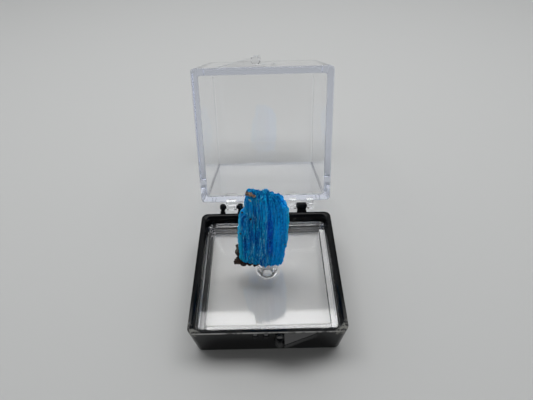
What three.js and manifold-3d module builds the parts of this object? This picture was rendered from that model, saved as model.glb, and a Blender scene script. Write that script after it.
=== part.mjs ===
// A chalcanthite specimen fixed on the post of a clear stand, inside a small hinged display box.
// Millimetres, +Z up. The origin is the middle of the box's underside, +Y runs to the hinge and
// the box is shown open, with the back edge of its lid lying on the surface that the box stands on.
import * as THREE from 'three';
import { mergeVertices } from 'three/addons/utils/BufferGeometryUtils.js';
import Module from 'manifold-3d';

const wasm = await Module();
wasm.setup();

// Box: a black tray and a clear lid, both square, with walls that draw in away from the rim
const BOX_SIDE = 32;
const CORNER_RADIUS = 1.4;
const TRAY_HEIGHT = 8.5;
const TRAY_WALL = 1.35;
const TRAY_FLOOR = 1.4;
const TRAY_DRAFT = 0.7;
const LID_HEIGHT = 28.4;
const LID_WALL = 1.6;
const LID_TOP = 1.4;
const LID_DRAFT = 0.35;
const EDGE_ROUND = 0.4;
const RIM_GAP = 0.06;

// Hinge: the pin line runs behind the back wall, just above the rim
const PIN_BACK = 1.6;
const PIN_UP = 0.7;
const PIN_RADIUS = 0.42;
const SOCKET_RADIUS = 0.56;
const KNUCKLE_RADIUS = 0.85;
const SIDE_GAP = 0.12;
const OPEN_ANGLE = 113.5;

// Stand and pad inside the tray
const PAD_SIDE = 28.8;
const PAD_THICKNESS = 1.9;
const STAND_SIDE = 28.9;
const STAND_WALL = 1.25;
const STAND_PLATE = 1.2;
const STAND_TOP = 6.9;
const REST_GAP = 0.08;
const POST_X = 0.1;
const POST_RADIUS = 2.2;
const POST_BORE = 1.25;
const POST_TOP = 10.15;

// Specimen: a flat lump of upright fibres that leans back a little on the post
const SPECIMEN_FRONT = [-1.8, -0.6];
const SPECIMEN_BACK = [4.1, 2.7];
const CREST_Y = 0.8;
const COLUMNS = 58;
const RINGS = 30;
const CAP_SHARE = 0.12;
const ROCK_GAP = 0.3;

const PIN_Y = BOX_SIDE / 2 + PIN_BACK;
const PIN_Z = TRAY_HEIGHT + PIN_UP;

const BLACK = new THREE.MeshStandardMaterial({ color: 0x121315, roughness: 0.3, metalness: 0 });
const CLEAR = new THREE.MeshStandardMaterial({
  color: 0xe6e9ee,
  roughness: 0.08,
  metalness: 0,
  transparent: true,
  opacity: 0.35,
});
const WHITE = new THREE.MeshStandardMaterial({ color: 0xd8d9d6, roughness: 0.8, metalness: 0 });
const BLUE = new THREE.MeshStandardMaterial({ color: 0x0a63a8, roughness: 0.5, metalness: 0 });
const BROWN = new THREE.MeshStandardMaterial({ color: 0x2b1a12, roughness: 0.9, metalness: 0 });
const TAN = new THREE.MeshStandardMaterial({ color: 0x77604a, roughness: 0.9, metalness: 0 });

// A closed three.js geometry as a solid for joining and cutting
function solid(geometry) {
  const bare = geometry.clone();
  bare.deleteAttribute('normal');
  bare.deleteAttribute('uv');
  const merged = mergeVertices(bare, 1e-5);
  return new wasm.Manifold(new wasm.Mesh({
    numProp: 3,
    vertProperties: new Float32Array(merged.attributes.position.array),
    triVerts: new Uint32Array(merged.index.array),
  }));
}

// A finished solid as a named mesh
function piece(name, body, material) {
  const mesh = body.getMesh();
  const geometry = new THREE.BufferGeometry();
  geometry.setAttribute('position', new THREE.BufferAttribute(mesh.vertProperties, 3));
  geometry.setIndex(new THREE.BufferAttribute(mesh.triVerts, 1));
  geometry.computeVertexNormals();
  const made = new THREE.Mesh(geometry, material);
  made.name = name;
  return made;
}

function joined(bodies) {
  return bodies.reduce((sum, body) => sum.add(body));
}

// A block with round upright corners. Each level is a height and how far the side is set in there.
function roundedBlock(side, radius, levels) {
  const half = side / 2;
  const flat = half - radius;
  const outline = new THREE.Shape();
  outline.moveTo(-flat, -half);
  outline.lineTo(flat, -half);
  outline.absarc(flat, -flat, radius, -Math.PI / 2, 0);
  outline.absarc(flat, flat, radius, 0, Math.PI / 2);
  outline.absarc(-flat, flat, radius, Math.PI / 2, Math.PI);
  outline.absarc(-flat, -flat, radius, Math.PI, 1.5 * Math.PI);
  const steps = levels.length - 1;
  const geometry = new THREE.ExtrudeGeometry(outline, {
    depth: steps,
    steps,
    curveSegments: 4,
    bevelEnabled: false,
  });
  const position = geometry.attributes.position;
  for (let i = 0; i < position.count; i += 1) {
    const [height, inset] = levels[Math.round(position.getZ(i))];
    const shrink = 1 - inset / half;
    position.setXYZ(i, position.getX(i) * shrink, position.getY(i) * shrink, height);
  }
  return solid(geometry);
}

function cylinder(radius, length, sides, x, y, z, axis = 'z') {
  const geometry = new THREE.CylinderGeometry(radius, radius, length, sides);
  if (axis === 'z') geometry.rotateX(Math.PI / 2);
  if (axis === 'x') geometry.rotateZ(Math.PI / 2);
  geometry.translate(x, y, z);
  return solid(geometry);
}

// A profile in the Y-Z plane, given as a shape, carried along X from one place to another
function alongX(shape, from, to) {
  const geometry = new THREE.ExtrudeGeometry(shape, {
    depth: to - from,
    curveSegments: 8,
    bevelEnabled: false,
  });
  geometry.rotateX(Math.PI / 2);
  geometry.rotateZ(Math.PI / 2);
  geometry.translate(from, 0, 0);
  return solid(geometry);
}

// A flat plan shape carried up from one height to another
function upright(points, low, high) {
  const outline = new THREE.Shape(points.map(([x, y]) => new THREE.Vector2(x, y)));
  const geometry = new THREE.ExtrudeGeometry(outline, { depth: high - low, bevelEnabled: false });
  geometry.translate(0, 0, low);
  return solid(geometry);
}

// A hinge arm: a round eye on the pin line, with a root on the wall below or above it
function hingeArm(from, to, rootNear, rootFar) {
  const wall = BOX_SIDE / 2 - 0.5;
  const root = new THREE.Shape();
  root.moveTo(wall, rootFar);
  root.lineTo(BOX_SIDE / 2 + 0.1, rootFar);
  root.lineTo(PIN_Y + KNUCKLE_RADIUS, PIN_Z);
  root.lineTo(PIN_Y, PIN_Z);
  root.lineTo(BOX_SIDE / 2 + 0.2, rootNear);
  root.lineTo(wall, rootNear);
  root.closePath();
  const bevel = 0.25;
  const eye = new THREE.LatheGeometry([
    new THREE.Vector2(0, from),
    new THREE.Vector2(KNUCKLE_RADIUS - bevel, from),
    new THREE.Vector2(KNUCKLE_RADIUS, from + bevel),
    new THREE.Vector2(KNUCKLE_RADIUS, to - bevel),
    new THREE.Vector2(KNUCKLE_RADIUS - bevel, to),
    new THREE.Vector2(0, to),
  ], 14);
  eye.rotateZ(-Math.PI / 2);
  eye.translate(0, PIN_Y, PIN_Z);
  return alongX(root, from, to).add(solid(eye));
}

// Turns a piece of the closed lid about the pin line into the open place
function opened(body) {
  const mesh = body.getMesh();
  const geometry = new THREE.BufferGeometry();
  geometry.setAttribute('position', new THREE.BufferAttribute(mesh.vertProperties, 3));
  geometry.setIndex(new THREE.BufferAttribute(mesh.triVerts, 1));
  geometry.translate(0, -PIN_Y, -PIN_Z);
  geometry.rotateX(THREE.MathUtils.degToRad(-OPEN_ANGLE));
  geometry.translate(0, PIN_Y, PIN_Z);
  return solid(geometry);
}

// The thumb tab at the front: a wedge that grows out of the rim, a round boss where it ends,
// and two little round nubs beside it. The lid's tab is the tray's turned the other way.
function thumbTab(side, low, high, bossLow, bossHigh) {
  const front = -BOX_SIDE / 2;
  const [bossX, peak, tip] = [1.75, 2.5, 9.4];
  const wedge = upright(
    side > 0
      ? [[bossX, front + 0.4], [tip, front + 0.1], [bossX + 1.3, front - peak], [bossX, front - peak]]
      : [[-bossX, front + 0.4], [-bossX, front - peak], [-bossX - 1.3, front - peak],
        [-tip, front + 0.1]],
    low,
    high,
  );
  const boss = cylinder(1, bossHigh - bossLow, 16, side * bossX, front - 0.6, (bossLow + bossHigh) / 2);
  const nubs = [-0.35, -2.5].map((x) => (
    cylinder(0.55, high - low, 12, side * x, front + 0.2, (low + high) / 2)
  ));
  return joined([wedge, boss, ...nubs]);
}

// The hinge's places along X: the tray has two round-headed lugs on the left, with the lid's block
// between them, and one block on the right, between the lid's two ears.
const LUGS = [[-11.6, -10.05], [-7.25, -5.7]];
const LID_BLOCK = [-10.05 + SIDE_GAP, -7.25 - SIDE_GAP];
const TRAY_BLOCK = [7.75, 10.25];
const LID_EARS = [[6.1, 7.75 - SIDE_GAP], [10.25 + SIDE_GAP, 11.95]];
const LUG_ROOT = [TRAY_HEIGHT - 0.3, TRAY_HEIGHT - 3];
const EAR_ROOT = [TRAY_HEIGHT + RIM_GAP + 0.3, TRAY_HEIGHT + RIM_GAP + 3];

function pin(x, reach) {
  return cylinder(PIN_RADIUS, 2 * reach, 14, x, PIN_Y, PIN_Z, 'x');
}

function socket(x, reach) {
  return cylinder(SOCKET_RADIUS, 2 * reach, 14, x, PIN_Y, PIN_Z, 'x');
}

// Black tray
const rimInside = BOX_SIDE - 2 * TRAY_WALL;
const trayShell = roundedBlock(BOX_SIDE, CORNER_RADIUS, [
  [0, TRAY_DRAFT + EDGE_ROUND],
  [0.12, TRAY_DRAFT + 0.12],
  [EDGE_ROUND, TRAY_DRAFT],
  [TRAY_HEIGHT - 0.15, 0.02],
  [TRAY_HEIGHT, 0.12],
]).subtract(roundedBlock(rimInside, CORNER_RADIUS - 0.5, [
  [TRAY_FLOOR, 0.12],
  [TRAY_HEIGHT + 1, 0],
]));
const trayHinge = joined([
  ...LUGS.map(([from, to]) => hingeArm(from, to, ...LUG_ROOT)),
  hingeArm(...TRAY_BLOCK, ...LUG_ROOT),
  pin(LUGS[0][1], 0.5),
  pin(LUGS[1][0], 0.5),
  pin(TRAY_BLOCK[0], 0.5),
  pin(TRAY_BLOCK[1], 0.5),
]);
const trayTab = thumbTab(1, TRAY_HEIGHT - 1.6, TRAY_HEIGHT - 0.1, TRAY_HEIGHT - 3, TRAY_HEIGHT - 0.2);
const tray = joined([trayShell, trayHinge, trayTab]);

// White pad on the floor of the tray
const padLow = TRAY_FLOOR + REST_GAP;
const pad = roundedBlock(PAD_SIDE, 0.8, [[padLow, 0], [padLow + PAD_THICKNESS, 0]]);

// Clear stand: an upside-down tray with a hollow round post in its middle
const standLow = padLow + PAD_THICKNESS + REST_GAP;
const standShell = roundedBlock(STAND_SIDE, 0.9, [
  [standLow, 0],
  [STAND_TOP - 0.3, 0.05],
  [STAND_TOP, 0.3],
]).subtract(roundedBlock(STAND_SIDE - 2 * STAND_WALL, 0.6, [
  [standLow - 1, 0],
  [STAND_TOP - STAND_PLATE, 0.1],
]));
const postMiddle = (STAND_TOP - 0.5 + POST_TOP) / 2;
const stand = standShell
  .add(cylinder(POST_RADIUS, POST_TOP - STAND_TOP + 0.5, 28, POST_X, 0, postMiddle))
  .subtract(cylinder(POST_BORE, POST_TOP - STAND_TOP + 4, 20, POST_X, 0, postMiddle + 0.8));

// Clear lid, made closed and then turned open
const lidLow = TRAY_HEIGHT + RIM_GAP;
const lidHigh = TRAY_HEIGHT + LID_HEIGHT;
const lidShell = roundedBlock(BOX_SIDE, CORNER_RADIUS, [
  [lidLow, 0.08],
  [lidLow + 0.15, 0],
  [lidHigh - EDGE_ROUND, LID_DRAFT],
  [lidHigh - 0.12, LID_DRAFT + 0.12],
  [lidHigh, LID_DRAFT + EDGE_ROUND],
]).subtract(roundedBlock(BOX_SIDE - 2 * LID_WALL, CORNER_RADIUS - 0.6, [
  [lidLow - 1, 0],
  [lidHigh - LID_TOP - 0.3, LID_DRAFT / 2],
  [lidHigh - LID_TOP, LID_DRAFT / 2 + 0.3],
]));
const lidArms = joined([
  hingeArm(...LID_BLOCK, ...EAR_ROOT),
  ...LID_EARS.map(([from, to]) => hingeArm(from, to, ...EAR_ROOT)),
]);
const lidSockets = joined([
  socket(LID_BLOCK[0], 0.6),
  socket(LID_BLOCK[1], 0.6),
  socket(LID_EARS[0][1], 0.6),
  socket(LID_EARS[1][0], 0.6),
]);
const lidTab = thumbTab(-1, lidLow + 0.1, lidLow + 1.6, lidLow + 0.1, lidLow + 3);
const lid = opened(joined([lidShell, lidArms, lidTab]).subtract(lidSockets));

// Straight lines between hand-picked points
function along(points, at) {
  const last = points.length - 1;
  for (let i = 0; i < last; i += 1) {
    const [a, b] = [points[i], points[i + 1]];
    if (at <= b[0] || i === last - 1) {
      const share = THREE.MathUtils.clamp((at - a[0]) / (b[0] - a[0]), 0, 1);
      return THREE.MathUtils.lerp(a[1], b[1], share);
    }
  }
  return points[last][1];
}

// Specimen outline seen from the front. The sides are [share of the height, x] from the bottom up,
// the two ends are [x, z] from left to right.
const LEFT_SIDE = [
  [0, -4.5], [0.06, -5], [0.2, -5.4], [0.32, -5.65], [0.46, -5.35], [0.6, -5.2], [0.71, -5],
  [0.76, -4.6], [0.78, -3.95], [0.88, -3.6], [1, -3.2],
];
const RIGHT_SIDE = [
  [0, 3.1], [0.03, 3.45], [0.13, 3.5], [0.22, 4], [0.28, 3.85], [0.33, 4.45], [0.43, 4.25],
  [0.53, 4.4], [0.7, 4.65], [0.8, 4.55], [0.88, 4.3], [0.94, 3.7], [1, 2.9],
];
const TOP_END = [[-3.3, 31.1], [-2.5, 31.5], [-1.7, 31.4], [-1.4, 31.1], [-0.3, 31.3], [0.7, 31],
  [1.7, 30.4], [2.9, 29.9]];
const BOTTOM_END = [[-4.5, 11.3], [-2.8, 11.1], [-1.5, 11.2], [-1.2, 10.8], [-0.35, 10.4],
  [0.65, 10.6], [2.6, 10.9], [3.4, 11.1]];

// Bundles of fibres across the front and the back: [x, how far the face stands back there]
const FRONT_BUNDLES = [
  [-5.2, 0.55], [-4.5, 0.35], [-4.3, 0.6], [-3.9, 0.15], [-3.3, 0.1], [-3.1, 0.45], [-2.7, 0],
  [-2.1, 0.1], [-1.9, 0.4], [-1.4, 0.05], [-0.9, 0.15], [-0.7, 0.4], [-0.2, 0], [0.5, 0.1],
  [0.8, 0.35], [1.2, 0.3], [1.5, 0.05], [2.3, 0], [2.6, 0.25], [3.1, 0.1], [3.8, 0.3], [4.5, 0.6],
];
const BACK_BUNDLES = [
  [-5, 0.5], [-4.4, 0.1], [-3.8, 0.55], [-3, 0.2], [-2.4, 0.75], [-1.6, 0.3], [-1.1, 0.6], [0, 0],
  [0.7, 0.5], [1.4, 0.15], [2.2, 0.6], [3, 0.3], [3.6, 0.8], [4.4, 0.6],
];

// The fibres run straight up, and bend to the right over the lowest quarter
function fibreX(x, share) {
  const low = Math.max(0, 0.28 - share) / 0.28;
  return x - 1.1 * low * low + 0.12 * Math.sin(5 * share + 0.8 * x);
}

// Where a point of the skin goes: turn is its angle round the lump, drop runs from top to bottom
function skin(turn, drop) {
  const side = THREE.MathUtils.clamp((drop - CAP_SHARE) / (1 - 2 * CAP_SHARE), 0, 1);
  const share = 1 - side;
  const spread = Math.min(1, Math.min(drop, 1 - drop) / CAP_SHARE);
  const across = Math.sign(Math.cos(turn)) * Math.abs(Math.cos(turn)) ** 0.5;
  const deep = Math.sign(Math.sin(turn)) * Math.abs(Math.sin(turn)) ** 0.3;
  const [left, right] = [along(LEFT_SIDE, share), along(RIGHT_SIDE, share)];
  const x = (left + right) / 2 + spread * across * (right - left) / 2;
  const front = THREE.MathUtils.lerp(...SPECIMEN_FRONT, share);
  const back = THREE.MathUtils.lerp(...SPECIMEN_BACK, share);
  const bundles = deep < 0 ? FRONT_BUNDLES : BACK_BUNDLES;
  const relief = along(bundles, fibreX(x, share)) * Math.abs(deep) ** 3 * spread;
  const y = (front + back) / 2 + spread * deep * ((back - front) / 2 - relief);
  const low = along(BOTTOM_END, x) + 0.25 * spread * (deep > 0 ? deep : 0);
  const ahead = y < CREST_Y ? 0.55 * (CREST_Y - y) : 0.6 * (y - CREST_Y);
  const high = along(TOP_END, x) - ahead + 0.14 * Math.sin(7 * x + 2 * y);
  return new THREE.Vector3(x, y, low + (high - low) * share);
}

const lump = new THREE.SphereGeometry(1, COLUMNS, RINGS);
lump.deleteAttribute('normal');
lump.deleteAttribute('uv');
const skinGeometry = mergeVertices(lump, 1e-5);
const skinPosition = skinGeometry.attributes.position;
for (let i = 0; i < skinPosition.count; i += 1) {
  const turn = Math.atan2(skinPosition.getZ(i), skinPosition.getX(i));
  const drop = Math.acos(THREE.MathUtils.clamp(skinPosition.getY(i), -1, 1)) / Math.PI;
  const place = skin(-turn, drop);
  skinPosition.setXYZ(i, place.x, place.y, place.z);
}

// Matrix: rough knobs of brown rock, [x, y, z, radius, share of the radius upward]
const ROCK_KNOBS = [
  [-6.1, -0.4, 12.15, 1.05, 0.85],
  [-6.05, 0.5, 14.2, 0.85, 1.2],
  [-5.8, 0.8, 15.8, 0.75, 1.2],
  [-5.1, 1.2, 12.3, 1.4, 0.9],
  [-4.7, -0.9, 11.6, 1, 0.75],
  [-3.3, -1.1, 11.2, 0.85, 0.6],
  [-2.1, -1.2, 11.05, 0.75, 0.5],
];
const CHIP_KNOBS = [[-2.9, 0.2, 30.5, 0.75, 0.6], [-2.1, 0.15, 30.25, 0.7, 0.45]];

function knob([x, y, z, radius, tall], extra) {
  const geometry = new THREE.IcosahedronGeometry(1, 2);
  const position = geometry.attributes.position;
  for (let i = 0; i < position.count; i += 1) {
    const point = new THREE.Vector3().fromBufferAttribute(position, i);
    const wave = Math.sin(4.1 * point.x + x) * Math.sin(3.7 * point.y + z) * Math.sin(4.3 * point.z);
    const size = radius * (1 + 0.25 * wave);
    position.setXYZ(
      i,
      point.x * (size + extra),
      point.y * (size + extra),
      point.z * (size * tall + extra),
    );
  }
  geometry.translate(x, y, z);
  return solid(geometry);
}

const rock = joined(ROCK_KNOBS.map((row) => knob(row, 0)));
const chip = joined(CHIP_KNOBS.map((row) => knob(row, 0)));
const pockets = joined([...ROCK_KNOBS, ...CHIP_KNOBS].map((row) => knob(row, ROCK_GAP)));
const crystals = solid(skinGeometry).subtract(pockets);

const box = new THREE.Group();
box.add(piece('tray', tray, BLACK));
box.add(piece('floor_pad', pad, WHITE));
box.add(piece('clear_stand', stand, CLEAR));
box.add(piece('chalcanthite', crystals, BLUE));
box.add(piece('matrix_rock', rock, BROWN));
box.add(piece('matrix_chip', chip, TAN));
box.add(piece('lid', lid, CLEAR));

export default box;
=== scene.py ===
import math

import bmesh
import bpy
import numpy as np
from mathutils import Matrix, Vector


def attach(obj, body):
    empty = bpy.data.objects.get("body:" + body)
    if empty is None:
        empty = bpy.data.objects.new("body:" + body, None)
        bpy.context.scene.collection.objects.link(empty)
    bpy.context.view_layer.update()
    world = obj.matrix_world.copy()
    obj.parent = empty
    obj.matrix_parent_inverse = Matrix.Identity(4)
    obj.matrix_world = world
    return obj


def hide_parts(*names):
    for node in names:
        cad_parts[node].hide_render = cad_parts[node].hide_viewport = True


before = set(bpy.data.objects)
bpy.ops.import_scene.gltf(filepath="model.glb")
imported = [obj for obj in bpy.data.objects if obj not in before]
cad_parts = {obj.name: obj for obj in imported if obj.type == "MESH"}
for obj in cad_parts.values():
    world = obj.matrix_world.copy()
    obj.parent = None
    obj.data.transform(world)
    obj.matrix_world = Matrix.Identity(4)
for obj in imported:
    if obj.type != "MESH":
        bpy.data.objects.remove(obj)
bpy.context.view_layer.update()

MM = 0.001
bpy.ops.object.select_all(action="DESELECT")


# Camera: where the photograph was taken from, in front of the box and looking down at it.
# The lens is the one that gives the photograph's frame at its width of 533 pixels.
PHOTO_WIDTH_PX = 533
FOCAL_PX = 402.7
FILM_WIDTH = 36
CAMERA_PLACE = (0.715 * MM, -52.42 * MM, 83.13 * MM)
CAMERA_PITCH = -45.668
CAMERA_YAW = -0.406
CAMERA_ROLL = -1.57

camera_data = bpy.data.cameras.new("camera")
camera_data.sensor_width = FILM_WIDTH
camera_data.lens = FILM_WIDTH * FOCAL_PX / PHOTO_WIDTH_PX
camera_data.clip_start = 0.002
camera_data.clip_end = 20
camera = bpy.data.objects.new("camera", camera_data)
bpy.context.scene.collection.objects.link(camera)
camera.matrix_world = (
    Matrix.Translation(CAMERA_PLACE)
    @ Matrix.Rotation(math.radians(-CAMERA_YAW), 4, "Z")
    @ Matrix.Rotation(math.radians(90 + CAMERA_PITCH), 4, "X")
    @ Matrix.Rotation(math.radians(CAMERA_ROLL), 4, "Z")
)
bpy.context.scene.camera = camera


# Light: a pale room that is dark in front, with light coming in low from its two front corners,
# and one large soft panel overhead behind the box, which the polished plastic mirrors.
ROOM_FRONT = (0.07, 0.07, 0.07)
ROOM_FRONT_LOW = (0.34, 0.34, 0.34)
ROOM_CORNERS_LOW = (1.3, 1.3, 1.3)
ROOM_BACK = (0.74, 0.755, 0.76)
CEILING_SHARE = 0.3
PANEL_SIZE = (0.42, 0.132)
PANEL_PLACE = (0.0, 0.086, 0.30)
PANEL_RADIANCE = 3.6
ALL_BOUNCES = 28
GLOSSY_BOUNCES = 20


class Value:
    """An output socket, so that sums and products of patterns are plain expressions."""

    def __init__(self, tree, socket):
        self.tree = tree
        self.socket = socket

    def math(self, operation, *terms, clamp=False):
        node = self.tree.nodes.new("ShaderNodeMath")
        node.operation = operation
        node.use_clamp = clamp
        for place, term in zip(node.inputs, terms):
            if isinstance(term, Value):
                self.tree.links.new(term.socket, place)
            else:
                place.default_value = term
        return Value(self.tree, node.outputs[0])

    def __add__(self, other):
        return self.math("ADD", self, other)

    def __radd__(self, other):
        return self.math("ADD", other, self)

    def __sub__(self, other):
        return self.math("SUBTRACT", self, other)

    def __rsub__(self, other):
        return self.math("SUBTRACT", other, self)

    def __mul__(self, other):
        return self.math("MULTIPLY", self, other)

    def __rmul__(self, other):
        return self.math("MULTIPLY", other, self)

    def absolute(self):
        return self.math("ABSOLUTE", self)

    def clamped(self):
        return self.math("ADD", self, 0, clamp=True)

    def between(self, low, high):
        """0 at low and below, 1 at high and above, smooth on the way."""
        node = self.tree.nodes.new("ShaderNodeMapRange")
        node.interpolation_type = "SMOOTHSTEP"
        node.clamp = True
        self.tree.links.new(self.socket, node.inputs["Value"])
        node.inputs["From Min"].default_value = low
        node.inputs["From Max"].default_value = high
        return Value(self.tree, node.outputs["Result"])


class Nodes:
    """Adds the nodes of one world or material."""

    def __init__(self, tree):
        self.tree = tree

    def node(self, kind, settings=(), output=0, **sockets):
        made = self.tree.nodes.new(kind)
        for key, value in dict(settings).items():
            setattr(made, key, value)
        for key, value in sockets.items():
            if isinstance(value, Value):
                self.tree.links.new(value.socket, made.inputs[key])
            else:
                made.inputs[key].default_value = value
        return Value(self.tree, made.outputs[output])

    def mapped(self, scale=(1, 1, 1)):
        coordinates = self.node("ShaderNodeTexCoord", output="Object")
        return self.node("ShaderNodeMapping", Vector=coordinates, Scale=scale)

    def millimetres(self):
        """Where a point is on the piece, as three values in millimetres."""
        return self.axes(self.mapped((1000, 1000, 1000)))

    def axes(self, vector):
        split = self.tree.nodes.new("ShaderNodeSeparateXYZ")
        self.tree.links.new(vector.socket, split.inputs[0])
        return [Value(self.tree, out) for out in split.outputs]

    def noise(self, vector, scale, detail=3, roughness=0.5):
        return self.node("ShaderNodeTexNoise", Vector=vector, Scale=scale, Detail=detail,
                         Roughness=roughness)

    def mix(self, share, first, second):
        made = self.tree.nodes.new("ShaderNodeMix")
        made.data_type = "RGBA"
        factor, color_a, color_b = made.inputs[0], made.inputs[6], made.inputs[7]
        for place, value in ((factor, share), (color_a, first), (color_b, second)):
            if isinstance(value, Value):
                self.tree.links.new(value.socket, place)
            elif place.type == "RGBA":
                place.default_value = (*value, 1)
            else:
                place.default_value = value
        return Value(self.tree, made.outputs[2])


world = bpy.data.worlds.new("room")
bpy.context.scene.world = world
world.use_nodes = True
room = Nodes(world.node_tree)
aside, ahead, up = room.axes(room.node("ShaderNodeTexCoord", output="Generated"))
front_low = room.mix((aside * aside).between(0.06, 0.25), ROOM_FRONT_LOW, ROOM_CORNERS_LOW)
front = room.mix(up.between(0.15, 0.37), front_low, ROOM_FRONT)
walls = room.mix(ahead.between(-0.3, 0.5), front, ROOM_BACK)
ceiling = room.mix(1 - CEILING_SHARE, walls, (0, 0, 0))
room_color = room.mix(up.between(0.6, 0.9), walls, ceiling)
background = world.node_tree.nodes["Background"]
world.node_tree.links.new(room_color.socket, background.inputs["Color"])
background.inputs["Strength"].default_value = 1

panel_data = bpy.data.lights.new("panel", "AREA")
panel_data.shape = "RECTANGLE"
panel_data.size, panel_data.size_y = PANEL_SIZE
panel_data.energy = PANEL_RADIANCE * math.pi * PANEL_SIZE[0] * PANEL_SIZE[1]
panel = bpy.data.objects.new("panel", panel_data)
bpy.context.scene.collection.objects.link(panel)
panel.location = PANEL_PLACE

bpy.context.scene.view_settings.view_transform = "Standard"
# Light is followed for as long as it takes to run through the clear walls from end to end.
paths = bpy.context.scene.cycles
paths.blur_glossy = 0
paths.max_bounces = ALL_BOUNCES
paths.glossy_bounces = GLOSSY_BOUNCES
paths.transmission_bounces = ALL_BOUNCES


# Tray: injection-moulded black polystyrene. Its walls draw in towards the flat underside, and its
# rim is rounded to the inside. Hinge lugs, hinge block and thumb tab are part of the moulding.
BOX_SIDE = 32 * MM
CORNER_RADIUS = 1.5 * MM
INNER_RADIUS = 0.9 * MM
TRAY_HEIGHT = 8.5 * MM
TRAY_WALL = 1.35 * MM
TRAY_FLOOR = 1.4 * MM
TRAY_DRAFT = 0.7 * MM
RIM_ROUND = 1.08 * MM
RIM_STEPS = 9
TRAY_EDGE = 0.14 * MM
INNER_DRAFT_SHARE = 0.4
PIN_Y = 17.6 * MM
PIN_Z = 9.2 * MM
PIN_RADIUS = 0.42 * MM
PIN_LENGTH = 0.5 * MM
KNUCKLE_RADIUS = 0.85 * MM
KNUCKLE_EDGE = 0.15 * MM
LUGS = ((-11.6 * MM, -10.05 * MM), (-7.25 * MM, -5.7 * MM))
LUG_EDGE = 0.65 * MM
LUG_NECK = 0.58
ARM_STEP = 0.7 * MM
ARM_CLIMB = (0.5, 0.4)
ARM_TAPER = 0.75
ROOT_INSIDE = 0.4 * MM
ROOT_OUTSIDE = 0.15 * MM
TRAY_BLOCK = (7.75 * MM, 10.25 * MM)
BLOCK_NECK = 0.85
TRAY_ROOTS = (5.6 * MM, 8.1 * MM)
TAB_PEAK = 2.5 * MM
TAB_TIP = 9.8 * MM
TAB_INSIDE = 0.4 * MM
TAB_END = 0.15 * MM
TAB_END_ROUND = 0.35 * MM
TAB_ROUND = 0.12 * MM
BOSS_RADIUS = 1.02 * MM
NUB_RADIUS = 0.6 * MM
NUBS_X = (-0.35 * MM, -2.5 * MM)
NUB_OUT = 0.1 * MM
NUB_RISE = 0.5 * MM
NUB_ROUND = 0.25 * MM
HAIR = 0.05 * MM


def edit(piece, test, domain="faces"):
    """Opens a piece in edit mode with only those faces or edges selected that pass the test."""
    bpy.ops.object.select_all(action="DESELECT")
    bpy.context.view_layer.objects.active = piece
    piece.select_set(True)
    bpy.ops.object.mode_set(mode="EDIT")
    bpy.ops.mesh.select_mode(type={"faces": "FACE", "edges": "EDGE", "verts": "VERT"}[domain])
    bpy.ops.mesh.select_all(action="DESELECT")
    mesh = bmesh.from_edit_mesh(piece.data)
    for element in getattr(mesh, domain):
        element.select = bool(test(element))
    mesh.select_flush_mode()
    bmesh.update_edit_mesh(piece.data)


def leave_edit():
    bpy.ops.object.mode_set(mode="OBJECT")


def added(name):
    """The primitive just added, named, with its place and size in its mesh."""
    piece = bpy.context.object
    piece.name = name
    bpy.ops.object.transform_apply(location=True, rotation=True, scale=True)
    return piece


def upright_edge(edge):
    a, b = (v.co for v in edge.verts)
    return abs(a.z - b.z) > 5 * abs(Vector((a.x - b.x, a.y - b.y)).length)


def modifier(piece, kind, **settings):
    bpy.ops.object.select_all(action="DESELECT")
    bpy.context.view_layer.objects.active = piece
    piece.select_set(True)
    made = piece.modifiers.new(kind.lower(), kind)
    for key, value in settings.items():
        setattr(made, key, value)
    bpy.ops.object.modifier_apply(modifier=made.name)


def rounded(piece, width, segments=3, angle=35):
    modifier(piece, "BEVEL", width=width, segments=segments, limit_method="ANGLE",
             angle_limit=math.radians(angle))


def grown_on(piece, others):
    """Fuses other closed meshes onto a piece."""
    for other in others:
        modifier(piece, "BOOLEAN", operation="UNION", solver="EXACT", object=other)
        bpy.data.objects.remove(other)


def smooth(piece, angle=30):
    bpy.ops.object.select_all(action="DESELECT")
    bpy.context.view_layer.objects.active = piece
    piece.select_set(True)
    bpy.ops.object.shade_smooth_by_angle(angle=math.radians(angle))


def flats_kept(piece):
    """Smooth shading whose roundings leave the flats between them flat."""
    smooth(piece)
    modifier(piece, "WEIGHTED_NORMAL", keep_sharp=True, weight=100)


def block(name, low, high):
    """A plain block between two corners, to be shaped further."""
    low, high = Vector(low), Vector(high)
    bpy.ops.object.select_all(action="DESELECT")
    bpy.ops.mesh.primitive_cube_add(size=1, location=(low + high) / 2, scale=high - low)
    return added(name)


def moulded_shell(name, side, low, high, radius, inner_radius, draft, wall, web):
    """A square shell, open at the top. Its walls draw in by draft at the closed end, which has
    the thickness of web."""
    piece = block(name, (-side / 2, -side / 2, low), (side / 2, side / 2, high))
    edit(piece, lambda f: f.normal.z < -0.9)
    shrink = 1 - 2 * draft / side
    bpy.ops.transform.resize(value=(shrink, shrink, 1))
    leave_edit()
    edit(piece, lambda f: f.normal.z > 0.9)
    bpy.ops.mesh.inset(thickness=wall)
    bpy.ops.mesh.extrude_region_move(TRANSFORM_OT_translate={"value": (0, 0, low + web - high)})
    shrink = 1 - draft * INNER_DRAFT_SHARE / (side / 2 - wall)
    bpy.ops.transform.resize(value=(shrink, shrink, 1))
    leave_edit()
    inner_corner = side / 2 - wall + HAIR
    edit(piece, lambda e: upright_edge(e) and abs(e.verts[0].co.x) < inner_corner, "edges")
    bpy.ops.mesh.bevel(offset=inner_radius, segments=8)
    leave_edit()
    outer_corner = side / 2 - draft - HAIR
    edit(piece, lambda e: upright_edge(e) and abs(e.verts[0].co.x) > outer_corner, "edges")
    bpy.ops.mesh.bevel(offset=radius, segments=8)
    leave_edit()
    return piece


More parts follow.
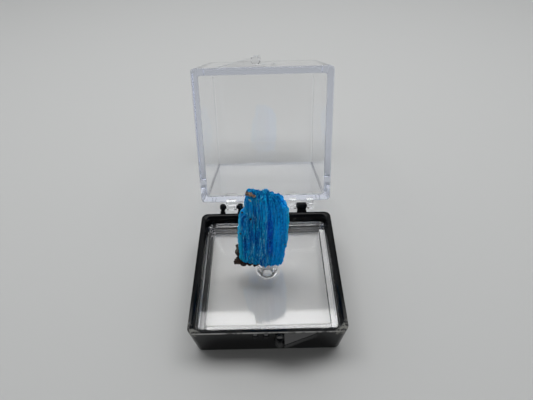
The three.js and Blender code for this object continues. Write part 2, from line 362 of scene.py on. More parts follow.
def rim_rounded(piece, inner_side, inner_radius, high, size):
    """Rounds the inner edge of a shell's rim, as a quarter circle in section."""
    mesh = bmesh.new()
    mesh.from_mesh(piece.data)
    for step in range(RIM_STEPS):
        cut = high - size + size * math.sin(math.radians(90 / RIM_STEPS * step))
        bmesh.ops.bisect_plane(mesh, geom=mesh.verts[:] + mesh.edges[:] + mesh.faces[:],
                               plane_co=(0, 0, cut), plane_no=(0, 0, 1))
    straight = inner_side - inner_radius
    near_wall = inner_radius + HAIR
    for vert in mesh.verts:
        place = vert.co.to_2d()
        core = Vector([max(-straight, min(straight, value)) for value in place])
        rise = vert.co.z - (high - size)
        if rise > 1e-7 and (place - core).length < near_wall:
            outwards = size - math.sqrt(max(0, size ** 2 - rise ** 2))
            vert.co.xy = place + (place - core).normalized() * outwards
    mesh.to_mesh(piece.data)
    mesh.free()


def crosswise(name, radius, start, end, vertices):
    """A round bar on the hinge's pin line, from start to end."""
    bpy.ops.object.select_all(action="DESELECT")
    bpy.ops.mesh.primitive_cylinder_add(
        vertices=vertices,
        radius=radius,
        depth=end - start,
        location=((start + end) / 2, PIN_Y, PIN_Z),
        rotation=(0, math.pi / 2, 0),
    )
    return added(name)


def knuckle(name, start, end, edge, segments=3):
    """A round eye on the pin line, with rounded ends."""
    piece = crosswise(name, KNUCKLE_RADIUS, start, end, 40)
    rounded(piece, edge, segments)
    return piece


def arm(name, start, end, root_low, root_high, neck):
    """A hinge arm's root: wide on the wall, with a narrower neck running up to the pin line."""
    first, second = (share * (PIN_Z - (root_low + root_high) / 2) for share in ARM_CLIMB)
    piece = block(name, (start, BOX_SIDE / 2 - ROOT_INSIDE, root_low),
                  (end, BOX_SIDE / 2 + ROOT_OUTSIDE, root_high))
    edit(piece, lambda f: f.normal.y > 0.9)
    bpy.ops.mesh.extrude_region_move(TRANSFORM_OT_translate={"value": (0, ARM_STEP, first)})
    bpy.ops.transform.resize(value=(neck, 1, ARM_TAPER))
    bpy.ops.mesh.extrude_region_move(TRANSFORM_OT_translate={"value": (0, ARM_STEP, second)})
    leave_edit()
    return piece


def round_post(name, radius, low, high, place, rounding):
    bpy.ops.object.select_all(action="DESELECT")
    bpy.ops.mesh.primitive_cylinder_add(
        vertices=32, radius=radius, depth=high - low, location=(*place, (low + high) / 2)
    )
    piece = added(name)
    rounded(piece, rounding, 4)
    return piece


def thumb_tab(side, low, high, boss_ends, boss_x, boss_out, boss_edge, wedge_from):
    """The wedge, the boss and the two nubs on the front of the rim. side is 1 on the tray."""
    front = -BOX_SIDE / 2
    ends = side * wedge_from, side * TAB_TIP
    wedge = block("wedge", (min(ends), front - TAB_PEAK, low),
                  (max(ends), front + TAB_INSIDE, high))
    half_out = front - TAB_PEAK / 2
    edit(wedge, lambda v: v.co.y < half_out and abs(v.co.x) > TAB_TIP / 2, "verts")
    bpy.ops.transform.translate(value=(0, TAB_PEAK - TAB_END, 0))
    leave_edit()
    edit(wedge, lambda e: upright_edge(e) and all(v.co.y < half_out for v in e.verts), "edges")
    bpy.ops.mesh.bevel(offset=TAB_END_ROUND, segments=5)
    leave_edit()
    rounded(wedge, TAB_ROUND)
    boss = round_post("boss", BOSS_RADIUS, *boss_ends, (side * boss_x, front - boss_out), boss_edge)
    nubs = []
    for x in NUBS_X:
        place = (side * x, front - NUB_OUT)
        nubs.append(round_post("nub", NUB_RADIUS, low + NUB_RISE, high, place, NUB_ROUND))
    return [wedge, boss, *nubs]


tray = moulded_shell("tray_moulding", BOX_SIDE, 0, TRAY_HEIGHT, CORNER_RADIUS, INNER_RADIUS,
                     TRAY_DRAFT, TRAY_WALL, TRAY_FLOOR)
rim_rounded(tray, BOX_SIDE / 2 - TRAY_WALL, INNER_RADIUS, TRAY_HEIGHT, RIM_ROUND)
rounded(tray, TRAY_EDGE, 3, 50)
tray_additions = []
for start, end in LUGS:
    eye = knuckle("lug", start, end, LUG_EDGE, 6)
    tray_additions += [arm("lug_root", start, end, *TRAY_ROOTS, LUG_NECK), eye]
eye = knuckle("block_eye", *TRAY_BLOCK, KNUCKLE_EDGE)
tray_additions += [arm("block_root", *TRAY_BLOCK, *TRAY_ROOTS, BLOCK_NECK), eye]
for end in (LUGS[0][1], LUGS[1][0], *TRAY_BLOCK):
    half = PIN_LENGTH / 2
    tray_additions.append(crosswise("pin", PIN_RADIUS, end - half, end + half, 24))
tray_additions += thumb_tab(
    side=1,
    low=TRAY_HEIGHT - 1.6 * MM,
    high=TRAY_HEIGHT - 0.1 * MM,
    boss_ends=(TRAY_HEIGHT - 3 * MM, TRAY_HEIGHT + 0.1 * MM),
    boss_x=2.33 * MM,
    boss_out=0.85 * MM,
    boss_edge=0.7 * MM,
    wedge_from=3.15 * MM,
)
grown_on(tray, tray_additions)
flats_kept(tray)


class Finish(Nodes):
    """One material, whose plain values are given by name."""

    def __init__(self, name, **constants):
        self.material = bpy.data.materials.new(name)
        self.material.use_nodes = True
        super().__init__(self.material.node_tree)
        self.shader = self.tree.nodes["Principled BSDF"]
        for socket, value in constants.items():
            self.shader.inputs[socket.replace("_", " ")].default_value = value

    def feed(self, socket, value):
        self.tree.links.new(value.socket, self.shader.inputs[socket])

    def bump(self, height, strength, distance):
        normal = self.node("ShaderNodeBump", Height=height, Strength=strength, Distance=distance)
        self.feed("Normal", normal)

    def absorb(self, color, density):
        """Takes light out of what passes through, by the metres that it travels inside."""
        body = self.tree.nodes.new("ShaderNodeVolumeAbsorption")
        body.inputs["Color"].default_value = (*color, 1)
        body.inputs["Density"].default_value = density
        self.tree.links.new(body.outputs[0], self.tree.nodes["Material Output"].inputs["Volume"])


POLISHED_BLACK = (0.0025, 0.0028, 0.0034)
SCUFFED_BLACK = (0.006, 0.0065, 0.0075)
WORN_EDGE_HIGHLIGHT = (0.24, 0.24, 0.23)
CHAFED_CORNER = (0.22, 0.22, 0.20)

black = Finish("black_polystyrene", IOR=1.59, Specular_IOR_Level=0.12)
bx, by, bz = black.millimetres()
scuffs = black.noise(black.mapped((1, 1, 3)), 900, 6, 0.6)
# The two front corners are chafed. The front edge of the rim is lightened along its length, partly
# wear and partly a painted highlight of its rounded edge.
chafed = (bx.absolute() - by).between(28.6, 29.6) * bz.between(7.0, 7.6)
chafed = chafed * black.noise(black.mapped((1, 1, 0.4)), 1600, 4, 0.6).between(0.45, 0.58)
worn_edge_highlight = bz.between(8.3, 8.42) * by.between(-15.7, -15.85) * (1 - by.between(-16.02, -16.08))
worn_edge_highlight = worn_edge_highlight * black.noise(black.mapped((1, 1, 0.4)), 500, 3, 0.6).between(0.3, 0.6)
black_color = black.mix(scuffs.between(0.45, 0.9), POLISHED_BLACK, SCUFFED_BLACK)
# Painted highlight, partly wear, along the front edge of the rim.
black_color = black.mix(worn_edge_highlight * 0.85, black_color, WORN_EDGE_HIGHLIGHT)
black_color = black.mix(chafed * 0.8, black_color, CHAFED_CORNER)
black.feed("Base Color", black_color)
black.feed("Roughness", 0.08 + 0.12 * scuffs.between(0.35, 0.8) + 0.35 * chafed + 0.25 * worn_edge_highlight)
black.bump(black.noise(black.mapped(), 2500, 2), 0.1, 0.015 * MM)
tray.data.materials.append(black.material)
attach(tray, "base")
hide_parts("tray")


# Floor pad: a square of thick white card that lies on the tray's floor, under the clear stand.
# It is cut a little small, and lies away from the tray's left and back walls.
PAD_REACH = 14.4 * MM
PAD_SHORT = 1.25 * MM
PAD_LOW = 1.48 * MM
PAD_THICKNESS = 1.9 * MM
PAD_CORNER = 0.8 * MM
PAD_EDGE = 0.08 * MM
CARD_DARK = (0.69, 0.68, 0.66)
CARD_LIGHT = (0.77, 0.76, 0.74)

pad = block("card_pad", (PAD_SHORT - PAD_REACH, -PAD_REACH, PAD_LOW),
            (PAD_REACH, PAD_REACH - PAD_SHORT, PAD_LOW + PAD_THICKNESS))
edit(pad, upright_edge, "edges")
bpy.ops.mesh.bevel(offset=PAD_CORNER, segments=5)
leave_edit()
rounded(pad, PAD_EDGE, 2)
flats_kept(pad)

card = Finish("white_card", Roughness=0.85)
fibres = card.noise(card.mapped((1, 1, 0.3)), 1500, 6, 0.7)
card.feed("Base Color", card.mix(fibres, CARD_DARK, CARD_LIGHT))
card.bump(fibres, 0.2, 0.03 * MM)
pad.data.materials.append(card.material)
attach(pad, "base")
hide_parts("floor_pad")


# Clear stand: crystal polystyrene, moulded as a shallow tray that stands upside down in the
# black one. A hollow round post grows out of the middle of its plate.
STAND_SIDE = 28.9 * MM
STAND_LOW = 3.46 * MM
STAND_TOP = 6.9 * MM
STAND_WALL = 1.25 * MM
STAND_PLATE = 1.2 * MM
STAND_CORNER = 0.9 * MM
STAND_INNER_CORNER = 0.7 * MM
STAND_DRAFT = 0.1 * MM
STAND_EDGE = 0.3 * MM
POST_X = 0.1 * MM
POST_RADIUS = 2.2 * MM
POST_BORE = 1.25 * MM
POST_LOW = 6.3 * MM
POST_TOP = 10.15 * MM
POST_EDGE = 0.15 * MM
POST_FILLET = 0.75 * MM
BORE_LOW = 5.95 * MM
BORE_LENGTH = 8 * MM


def turned_over(piece, low, high):
    """Stands a shell on its open side, between the same two heights."""
    edit(piece, lambda f: True)
    bpy.ops.transform.resize(value=(1, 1, -1), center_override=(0, 0, (low + high) / 2))
    bpy.ops.mesh.normals_make_consistent(inside=False)
    leave_edit()


def cut_out(piece, other):
    """Takes the form of another closed mesh out of a piece."""
    modifier(piece, "BOOLEAN", operation="DIFFERENCE", solver="EXACT", object=other)
    bpy.data.objects.remove(other)


def at_post_foot(vert):
    from_middle = math.hypot(vert.co.x - POST_X, vert.co.y)
    return abs(vert.co.z - STAND_TOP) < 1e-6 and abs(from_middle - POST_RADIUS) < 0.02 * MM


stand = moulded_shell("stand_moulding", STAND_SIDE, STAND_LOW, STAND_TOP, STAND_CORNER,
                      STAND_INNER_CORNER, STAND_DRAFT, STAND_WALL, STAND_PLATE)
turned_over(stand, STAND_LOW, STAND_TOP)
rounded(stand, STAND_EDGE, 4, 50)
bpy.ops.object.select_all(action="DESELECT")
bpy.ops.mesh.primitive_cylinder_add(vertices=64, radius=POST_RADIUS, depth=POST_TOP - POST_LOW,
                                    location=(POST_X, 0, (POST_TOP + POST_LOW) / 2))
post = added("post")
rounded(post, POST_EDGE)
grown_on(stand, [post])
edit(stand, lambda e: all(at_post_foot(v) for v in e.verts), "edges")
bpy.ops.mesh.bevel(offset=POST_FILLET, segments=6)
leave_edit()
bpy.ops.mesh.primitive_cylinder_add(vertices=48, radius=POST_BORE, depth=BORE_LENGTH,
                                    location=(POST_X, 0, BORE_LOW + BORE_LENGTH / 2))
bore = added("bore")
cut_out(stand, bore)
flats_kept(stand)

stand_clear = Finish("clear_polystyrene", Roughness=0.045, IOR=1.59, Transmission_Weight=1.0,
                     Base_Color=(1, 1, 1, 1))
stand_clear.absorb((0.48, 0.55, 0.70), 12)
stand.data.materials.append(stand_clear.material)
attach(stand, "base")
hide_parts("clear_stand")


# Chalcanthite: a flat lump of fine parallel fibres that stands upright on the post. Bundles of
# fibres end in small ledges, and grooves run between them. Its two ends are splintered.

# Its outline in millimetres: the sides are x by share of the height, the two ends are z by x, and
# the bundles are how deep the front and the back lie by x. FRONT_Y and BACK_Y are y at the bottom
# and at the top, CREST_Y is where the top is highest, and MIDDLE is a point well inside.
LEFT_SIDE = (
    (0, -5.45), (0.06, -5.8), (0.2, -5.85), (0.32, -5.75), (0.46, -5.45), (0.6, -5.25),
    (0.66, -5.05), (0.72, -4.6), (0.75, -3.95), (0.88, -3.55), (1, -3.2),
)
RIGHT_SIDE = (
    (0, 3.75), (0.03, 3.8), (0.13, 3.85), (0.22, 4.1), (0.26, 4.15), (0.3, 4.65), (0.43, 4.5),
    (0.53, 4.5), (0.7, 4.65), (0.79, 4.55), (0.86, 4.3), (0.93, 3.6), (1, 2.7),
)
TOP_END = (
    (-3.3, 30.7), (-2.5, 31.1), (-1.7, 31.0), (-1.4, 30.7), (-0.3, 31.0), (0.7, 30.8),
    (1.7, 30.0), (2.9, 29.4),
)
BOTTOM_END = (
    (-4.5, 11.3), (-2.8, 11.1), (-1.5, 11.2), (-1.2, 10.8), (-0.35, 10.4), (0.65, 10.6),
    (2.6, 10.8), (3.7, 10.9),
)
FRONT_BUNDLES = (
    (-5.2, 0.55), (-4.5, 0.35), (-4.3, 0.6), (-3.9, 0.15), (-3.3, 0.1), (-3.1, 0.45), (-2.7, 0),
    (-2.1, 0.1), (-1.9, 0.4), (-1.4, 0.05), (-0.9, 0.15), (-0.7, 0.4), (-0.2, 0), (0.5, 0.1),
    (0.8, 0.35), (1.2, 0.3), (1.5, 0.05), (2.3, 0), (2.6, 0.25), (3.1, 0.1), (3.8, 0.3),
    (4.5, 0.6),
)
BACK_BUNDLES = (
    (-5, 0.5), (-4.4, 0.1), (-3.8, 0.55), (-3, 0.2), (-2.4, 0.75), (-1.6, 0.3), (-1.1, 0.6),
    (0, 0), (0.7, 0.5), (1.4, 0.15), (2.2, 0.6), (3, 0.3), (3.6, 0.8), (4.4, 0.6),
)
FRONT_Y = (-1.8, -0.6)
BACK_Y = (4.1, 2.7)
CREST_Y = 0.8
MIDDLE = (0, 1, 21)
COLUMNS = 105
RINGS = 55
CAP_SHARE = 0.12
BEND_SHARE = 0.28
BUNDLES = 60
LEDGE_ROUNDS = 3
LATTICE = 48
NEARBY = 0.002
GIRTH_STEPS = 4001
SIDE_SQUARENESS = 0.5
FACE_SQUARENESS = 0.3
BUNDLE_WIDTHS = (0.35, 1.0)
GROOVE_DEPTH = 0.12
FIRST_LEDGE = 0.1
LEDGE_STEP = 0.16
LEDGE_HEIGHTS = (11, 31)
CHIP_DEPTH = 0.2


def along(points, at):
    return np.interp(at, [p[0] for p in points], [p[1] for p in points])


def soft_noise(points, cell, seed):
    """Smooth seeded values from -1 to 1 on a lattice of that cell size, for points as rows."""
    points = np.asarray(points, float) / np.asarray(cell, float)
    kinds = points.shape[1]
    table = np.random.default_rng(seed).uniform(-1, 1, (LATTICE,) * kinds)
    low = np.floor(points).astype(int)
    share = points - low
    share = share * share * (3 - 2 * share)
    total = np.zeros(len(points))
    for corner in range(2 ** kinds):
        pick = np.array([(corner >> k) & 1 for k in range(kinds)])
        weight = np.prod(np.where(pick, share, 1 - share), axis=1)
        total += weight * table[tuple(((low + pick) % LATTICE).T)]
    return total


def low_bend(share):
    """The fibres run straight up, and bend to the right over the lowest quarter."""
    return (np.maximum(0, BEND_SHARE - share) / BEND_SHARE) ** 2


def fibre_x(x, share):
    return x - 1.1 * low_bend(share) + 0.12 * np.sin(5 * share + 0.8 * x)


def skin(turn, drop):
    """Places on the lump's main form in millimetres, with their shares of its height and of its
    full width. turn is the angle round the lump, and drop runs from 0 on top to 1 at the foot."""
    side = np.clip((drop - CAP_SHARE) / (1 - 2 * CAP_SHARE), 0, 1)
    share = 1 - side
    spread = np.minimum(1, np.minimum(drop, 1 - drop) / CAP_SHARE)
    across = np.sign(np.cos(turn)) * np.abs(np.cos(turn)) ** SIDE_SQUARENESS
    deep = np.sign(np.sin(turn)) * np.abs(np.sin(turn)) ** FACE_SQUARENESS
    left, right = along(LEFT_SIDE, share), along(RIGHT_SIDE, share)
    x = (left + right) / 2 + spread * across * (right - left) / 2
    front = FRONT_Y[0] + (FRONT_Y[1] - FRONT_Y[0]) * share
    back = BACK_Y[0] + (BACK_Y[1] - BACK_Y[0]) * share
    line = fibre_x(x, share)
    relief = np.where(deep < 0, along(FRONT_BUNDLES, line), along(BACK_BUNDLES, line))
    relief = relief * np.abs(deep) ** 3 * spread
    y = (front + back) / 2 + spread * deep * ((back - front) / 2 - relief)
    low = along(BOTTOM_END, x) + 0.25 * spread * np.maximum(deep, 0)
    ahead = np.where(y < CREST_Y, 0.55 * (CREST_Y - y), 0.6 * (y - CREST_Y))
    high = along(TOP_END, x) - ahead + 0.14 * np.sin(7 * x + 2 * y)
    return np.stack([x, y, low + (high - low) * share], -1), share, spread


def even_turns(share):
    """Angles round the lump for shares of its girth, which is also returned."""
    dense = np.linspace(0, 2 * math.pi, GIRTH_STEPS)
    points, _, _ = skin(dense, np.full(GIRTH_STEPS, 0.5))
    length = np.concatenate([[0], np.cumsum(np.linalg.norm(np.diff(points, axis=0), axis=1))])
    return np.interp(share * length[-1], length, dense), length[-1]


def skin_points(turn, drop):
    """The places alone, without the shares."""
    return skin(turn, drop)[0]


bpy.ops.object.select_all(action="DESELECT")
bpy.ops.mesh.primitive_uv_sphere_add(segments=COLUMNS, ring_count=RINGS, radius=1)
crystals = added("chalcanthite_fibres")
modifier(crystals, "SUBSURF", subdivision_type="SIMPLE", levels=2)
sphere = np.zeros(len(crystals.data.vertices) * 3)
crystals.data.vertices.foreach_get("co", sphere)
sphere = sphere.reshape(-1, 3)
girth_share = np.arctan2(sphere[:, 1], sphere[:, 0]) / (2 * math.pi) % 1
drop = np.arccos(np.clip(sphere[:, 2] / np.linalg.norm(sphere, axis=1), -1, 1)) / math.pi
turn, girth = even_turns(girth_share)
points, share, spread = skin(turn, drop)
height = points[:, 2]

# Which way the surface faces at each point, from points nearby up, down and to the sides.
below = skin_points(turn, np.minimum(drop + NEARBY, 1))
above = skin_points(turn, np.maximum(drop - NEARBY, 0))
ahead_of = skin_points(even_turns((girth_share + NEARBY) % 1)[0], drop)
behind = skin_points(even_turns((girth_share - NEARBY) % 1)[0], drop)
normals = np.cross(below - above, ahead_of - behind)
normals /= np.maximum(np.linalg.norm(normals, axis=1, keepdims=True), 1e-9)
normals *= np.sign(np.sum(normals * (points - MIDDLE), axis=1).sum())

# Which fibre each point lies on, as a distance round the lump. On the broad faces the fibres stay
# upright where the lump narrows.
facing = -np.sign(np.sin(turn)) * np.abs(np.sin(turn)) ** 0.6
upright = facing * (points[:, 0] - skin_points(turn, np.full(len(turn), 0.5))[:, 0])
fibre_line = girth_share * girth + upright + 0.9 * low_bend(share) + 0.12 * np.sin(6 * share)

# Bundles of fibres, with grooves between them, each ending in ledges at its own heights.
rng = np.random.default_rng(11)
bundle_edges = np.cumsum(rng.uniform(*BUNDLE_WIDTHS, BUNDLES)) - 0.6
bundle = np.searchsorted(bundle_edges, fibre_line)
starts = np.concatenate([[-1.2], bundle_edges])
widths = np.diff(np.concatenate([starts, [bundle_edges[-1] + 0.6]]))
within = np.clip((fibre_line - starts[bundle]) / widths[bundle], 0, 1)
ledges = rng.uniform(-FIRST_LEDGE, FIRST_LEDGE, BUNDLES + 1)[bundle]
for _ in range(LEDGE_ROUNDS):
    ledge_height = rng.uniform(*LEDGE_HEIGHTS, BUNDLES + 1)[bundle]
    step = rng.uniform(-LEDGE_STEP, LEDGE_STEP, BUNDLES + 1)[bundle]
    ledges = ledges + step * (height > ledge_height)
grooves = -GROOVE_DEPTH * np.abs(2 * within - 1) ** 5

# Single fibres along the lump, chips on its sides, and splinters at its two ends.
on_fibres = np.stack([fibre_line, height], -1)
fine = (
    0.06 * soft_noise(on_fibres, (0.16, 1.8), 3)
    + 0.09 * soft_noise(on_fibres, (0.36, 3.5), 4)
    + 0.05 * soft_noise(on_fibres, (0.9, 1.6), 5)
    + 0.02 * soft_noise(on_fibres, (0.13, 0.4), 6)
)
chipped = CHIP_DEPTH * soft_noise(points, (0.9, 0.9, 0.45), 12) * np.abs(np.cos(turn)) ** 3
cells = points[:, :2] / (0.55, 0.5) + 0.3 * np.sin(points[:, 1:2] * 3)
cells = np.floor(cells).astype(int) % 64
cell_height = np.random.default_rng(8).uniform(-0.35, 0.15, (64, 64))[cells[:, 0], cells[:, 1]]
splinters = (
    cell_height
    + 0.2 * soft_noise(points, (0.4,) * 3, 9)
    + 0.14 * soft_noise(points, (0.2,) * 3, 10)
)
near_end = np.clip(1 - np.minimum(drop, 1 - drop) / (CAP_SHARE * 1.15), 0, 1) ** 0.3
relief = ledges + grooves + fine + chipped
placed = points + normals * (relief * spread ** 2)[:, None]
placed[:, 2] += splinters * near_end * np.where(drop < 0.5, 1, 0.5)
crystals.data.vertices.foreach_set("co", (placed * MM).ravel())
# Where the top is, for the painted shade on it.
shaded_top_mask = near_end * (drop < 0.5)
for name, values in (("fibre_line", fibre_line), ("ridge", grooves + fine), ("shaded_top", shaded_top_mask)):
    attribute = crystals.data.attributes.new(name, "FLOAT", "POINT")
    attribute.data.foreach_set("value", values.astype(np.float32))
crystals.data.update()
edit(crystals, lambda f: True)
bpy.ops.mesh.normals_make_consistent(inside=False)
leave_edit()
smooth(crystals, 50)

DEEP_BLUE = (0.0, 0.12, 0.50)
CLEAR_BLUE = (0.0, 0.44, 1.0)
RIGHT_BLUE = (0.0, 0.36, 1.0)
GREENISH = (0.01, 0.50, 0.80)
TOP_SHADE_DARK = (0.0, 0.09, 0.26)
TOP_SHADE_BLUE = (0.0, 0.26, 0.50)
SHADED_BLUE = (0.0, 0.09, 0.45)
STRIPE_BLUE = (0.0, 0.08, 0.72)
GROOVE_SHADE_BLUE = (0.0, 0.05, 0.33)
HAIR_BLUE = (0.01, 0.55, 1.0)
FLECK_LIGHT = (0.02, 0.58, 0.92)
FLECK_DARK = (0.0, 0.10, 0.46)
PALE_STREAK_AND_HIGHLIGHT = (0.26, 0.74, 0.95)
PALE_SPOT = (0.50, 0.62, 0.55)
EDGE_BLUE = (0.01, 0.50, 0.74)
SPOT_PLACE = (-2.75, 29.6)
STRIPE_X = 0.85

blue = Finish("chalcanthite", IOR=1.54, Specular_IOR_Level=0.05)
px, py, pz = blue.millimetres()
line, ridge, shaded_top = (
    blue.node("ShaderNodeAttribute", {"attribute_name": name}, output="Fac")
    for name in ("fibre_line", "ridge", "shaded_top")
)
grain = blue.node("ShaderNodeCombineXYZ", X=line, Y=pz * 0.3, Z=py * 0.2)
long_grain = blue.node("ShaderNodeCombineXYZ", X=line, Y=pz * 0.07, Z=py * 0.1)
threads = blue.noise(long_grain, 4.2, 3, 0.55)
streaks = blue.noise(grain, 3.4, 4, 0.6)
hair = blue.noise(grain, 9, 3, 0.6)
broad = blue.noise(long_grain, 1.6, 4, 0.6)
mottle = blue.noise(blue.mapped((1000, 1000, 600)), 2.4, 4, 0.65)
patch = blue.noise(blue.mapped((1000, 1000, 500)), 0.5, 2, 0.5)

right = px.between(-0.6, 2.2)
low_left = (1 - px.between(-1.5, 1.2)) * (1 - pz.between(24, 28)) * pz.between(12, 16)
stripe = (1 - (px - STRIPE_X).absolute().between(0.3, 0.85)) * (1 - pz.between(23, 27))
stripe = stripe * pz.between(12.5, 15.5)
# The top is painted darker, as painted shade against the light from above, with darker mottles of
# its own.
top_shade_color = blue.mix(mottle.between(0.4, 0.6), TOP_SHADE_DARK, TOP_SHADE_BLUE)
# Pale streaks, made paler still on the raised fibres as a painted highlight.
pale_streaks_and_highlight = threads.between(0.54, 0.66) * streaks.between(0.38, 0.6)
pale_streaks_and_highlight = (pale_streaks_and_highlight + ridge.between(0.06, 0.14) * 0.35).clamped()
from_spot_x, from_spot_z = px - SPOT_PLACE[0], pz - SPOT_PLACE[1]
spot = from_spot_x * from_spot_x + from_spot_z * from_spot_z
edge = px.between(-4.5, -5.3) + px.between(3.9, 4.6)

color = blue.mix(broad.between(0.42, 0.6), DEEP_BLUE, CLEAR_BLUE)
color = blue.mix(right * 0.75, color, RIGHT_BLUE)
color = blue.mix(patch.between(0.5, 0.62) * (1 - right) * 0.5, color, GREENISH)
color = blue.mix(shaded_top * 0.85, color, top_shade_color)
color = blue.mix(low_left * streaks.between(0.62, 0.42) * 0.7, color, SHADED_BLUE)
color = blue.mix(stripe * 0.9, color, STRIPE_BLUE)
# Painted shade: the grooves between the bundles are darker.
color = blue.mix(ridge.between(-0.02, -0.12) * (1 - 0.5 * right) * 0.75, color, GROOVE_SHADE_BLUE)
color = blue.mix(hair.between(0.45, 0.7) * 0.45, color, HAIR_BLUE)
color = blue.mix(mottle.between(0.52, 0.7) * 0.5, color, FLECK_LIGHT)
color = blue.mix(mottle.between(0.48, 0.34) * 0.5, color, FLECK_DARK)
color = blue.mix(pale_streaks_and_highlight * (1 - 0.9 * right) * patch.between(0.3, 0.5) * 0.9, color, PALE_STREAK_AND_HIGHLIGHT)
color = blue.mix(spot.between(0.12, 0.03), color, PALE_SPOT)
color = blue.mix(edge.clamped() * 0.6, color, EDGE_BLUE)
blue.feed("Base Color", color)
blue.feed("Roughness", 0.3 + 0.3 * hair)
blue.bump(hair + 1.5 * streaks, 0.5, 0.12 * MM)
crystals.data.materials.append(blue.material)
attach(crystals, "base")
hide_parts("chalcanthite")


# Matrix: earthy brown rock left on the specimen where the fibres grew out of it, as knobs at the
# lower left and along the bottom, a tan chip in the top left corner, and specks here and there.

# A knob is x, y, z, its radius and its height for its width. A speck is x, y, z and its radius.
ROCK_KNOBS = (
    (-6.25, -0.5, 11.35, 0.95, 0.65),
    (-6.1, 0.5, 13.2, 0.65, 1.3),
    (-5.9, 0.8, 14.6, 0.5, 1.3),
    (-5.1, 1.2, 12.0, 1.4, 0.8),
    (-5.0, -0.9, 11.0, 0.9, 0.5),
    (-3.7, -1.1, 10.9, 0.7, 0.5),
    (-2.4, -1.2, 10.95, 0.7, 0.42),
)
CHIP_KNOBS = (
    (-3.0, 0.15, 31.15, 0.5, 0.5),
    (-2.5, -0.05, 31.0, 0.55, 0.4),
    (-2.0, -0.25, 30.85, 0.45, 0.35),
)
SPECKS = (
    (-2.8, -1.0, 25.2, 0.2),
    (-5.1, -0.5, 20.6, 0.18),
    (-4.35, 0.1, 26.0, 0.18),
    (-3.15, 0.15, 31.6, 0.22),
    (3.9, -1.1, 17.2, 0.22),
    (-3.6, -1.5, 14.2, 0.18),
)


def rock_piece(name, knobs, cell, seed):
    """Knobs grown together in one rough lump, with a mesh as fine as cell."""
    lumps = []
    for x, y, z, radius, tall in knobs:
        bpy.ops.object.select_all(action="DESELECT")
        bpy.ops.mesh.primitive_ico_sphere_add(subdivisions=4, radius=radius * MM,
                                              location=(x * MM, y * MM, z * MM), scale=(1, 1, tall))
        lumps.append(added(name))
    bpy.ops.object.select_all(action="DESELECT")
    for lump in lumps:
        lump.select_set(True)
    bpy.context.view_layer.objects.active = lumps[0]
    if len(lumps) > 1:
        bpy.ops.object.join()
    piece = bpy.context.object
    piece.name = name
    modifier(piece, "REMESH", mode="VOXEL", voxel_size=cell * MM)
    places = np.zeros(len(piece.data.vertices) * 3)
    piece.data.vertices.foreach_get("co", places)
    places = places.reshape(-1, 3) / MM
    normals = np.zeros(len(piece.data.vertices) * 3)
    piece.data.vertices.foreach_get("normal", normals)
    normals = normals.reshape(-1, 3)
    rough = (
        0.24 * soft_noise(places, (0.7,) * 3, seed)
        + 0.17 * soft_noise(places, (0.3,) * 3, seed + 1)
        + 0.05 * soft_noise(places, (0.13,) * 3, seed + 2)
    )
    piece.data.vertices.foreach_set("co", ((places + normals * rough[:, None]) * MM).ravel())
    piece.data.update()
    smooth(piece, 60)
    return piece


rock = rock_piece("rock_knobs", ROCK_KNOBS, 0.07, 21)
chip = rock_piece("rock_chip", CHIP_KNOBS, 0.05, 31)
specks = [rock_piece("rock_speck", ((*speck, 1),), 0.05, 41) for speck in SPECKS]

NEARLY_BLACK = (0.006, 0.003, 0.0015)
DARK_BROWN = (0.065, 0.029, 0.016)
WEATHERED_GREY = (0.17, 0.16, 0.13)
BROWN = (0.10, 0.06, 0.04)
TAN = (0.36, 0.26, 0.18)

earth = Finish("brown_matrix", Roughness=0.85)
brown_grain = earth.noise(earth.mapped(), 2600, 5, 0.65)
earthy = earth.mix(brown_grain.between(0.35, 0.7), NEARLY_BLACK, DARK_BROWN)
rock_z = earth.millimetres()[2]
weathered = rock_z.between(12.8, 14) * (1 - rock_z.between(17, 18))
weathered = weathered * earth.noise(earth.mapped(), 1400, 3, 0.6).between(0.4, 0.6)
earth.feed("Base Color", earth.mix(weathered * 0.8, earthy, WEATHERED_GREY))
earth.bump(brown_grain, 0.6, 0.08 * MM)
pale_earth = Finish("tan_matrix", Roughness=0.85)
tan_grain = pale_earth.noise(pale_earth.mapped(), 2600, 5, 0.65)
pale_earth.feed("Base Color", pale_earth.mix(tan_grain.between(0.35, 0.7), BROWN, TAN))
pale_earth.bump(tan_grain, 0.5, 0.06 * MM)
rock.data.materials.append(earth.material)
chip.data.materials.append(pale_earth.material)
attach(rock, "base")
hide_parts("matrix_rock")
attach(chip, "base")
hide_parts("matrix_chip")
for number, speck in enumerate(specks):
    speck.name = f"rock_speck_{number + 1}"
    speck.data.materials.append(earth.material)
    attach(speck, "base")


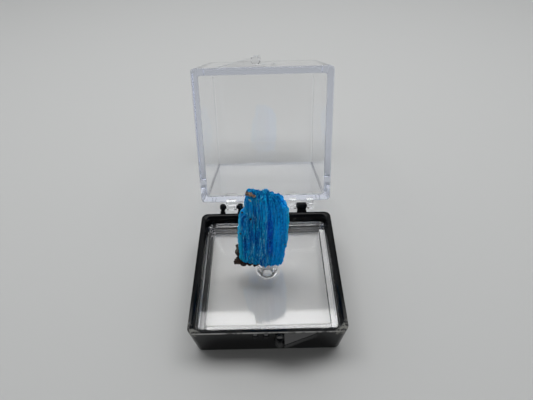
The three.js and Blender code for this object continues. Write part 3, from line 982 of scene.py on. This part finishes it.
# Lid: crystal polystyrene, moulded as one shell with its hinge block, two ears and thumb tab. It
# is shaped closed and then turned back on its pins until its rear edge lies on the table.
LID_LOW = 8.56 * MM
LID_HIGH = 36.9 * MM
LID_WALL = 1.6 * MM
LID_TOP = 1.4 * MM
LID_DRAFT = 0.35 * MM
LID_CORNER = 0.9 * MM
LID_INNER_CORNER = 0.35 * MM
LID_EDGE = 0.2 * MM
LID_BLOCK = (-9.93 * MM, -7.37 * MM)
LID_EARS = ((6.1 * MM, 7.63 * MM), (10.37 * MM, 11.95 * MM))
LID_ROOTS = (LID_LOW + 0.3 * MM, LID_LOW + 3 * MM)
EAR_NECK = 0.9
SOCKET_RADIUS = 0.56 * MM
SOCKET_LENGTH = 1.2 * MM
OPEN_ANGLE = 113.5

lid = moulded_shell("lid_moulding", BOX_SIDE, LID_LOW, LID_HIGH, LID_CORNER, LID_INNER_CORNER,
                    LID_DRAFT, LID_WALL, LID_TOP)
turned_over(lid, LID_LOW, LID_HIGH)
rounded(lid, LID_EDGE, 3, 50)
lid_additions = []
for start, end in (LID_BLOCK, *LID_EARS):
    eye = knuckle("ear", start, end, KNUCKLE_EDGE)
    lid_additions += [arm("ear_root", start, end, *LID_ROOTS, EAR_NECK), eye]
lid_additions += thumb_tab(
    side=-1,
    low=LID_LOW + 0.1 * MM,
    high=LID_LOW + 1.6 * MM,
    boss_ends=(LID_LOW + 0.05 * MM, LID_LOW + 3 * MM),
    boss_x=1.5 * MM,
    boss_out=1.35 * MM,
    boss_edge=0.3 * MM,
    wedge_from=0.3 * MM,
)
grown_on(lid, lid_additions)
for end in (*LID_BLOCK, LID_EARS[0][1], LID_EARS[1][0]):
    half = SOCKET_LENGTH / 2
    cut_out(lid, crosswise("socket", SOCKET_RADIUS, end - half, end + half, 24))
pin_line = Vector((0, PIN_Y, PIN_Z))
turn_open = Matrix.Rotation(math.radians(-OPEN_ANGLE), 4, "X")
turn_open = Matrix.Translation(pin_line) @ turn_open @ Matrix.Translation(-pin_line)
lid.data.transform(turn_open)
lid.data.update()
flats_kept(lid)

lid_clear = Finish("clear_lid", Roughness=0.02, IOR=1.59, Transmission_Weight=1.0,
                   Base_Color=(1, 1, 1, 1))
lid_clear.absorb((0.42, 0.5, 0.72), 16)
lid.data.materials.append(lid_clear.material)
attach(lid, "lid")
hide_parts("lid")


# Table: the plain pale surface under the box, which is no part of it.
TABLE_SIDE = 3
TABLE_COLOR = (0.635, 0.64, 0.635)

bpy.ops.object.select_all(action="DESELECT")
bpy.ops.mesh.primitive_plane_add(size=TABLE_SIDE)
table = added("table")
matt = Finish("table_top", Roughness=0.7, Base_Color=(*TABLE_COLOR, 1))
table.data.materials.append(matt.material)
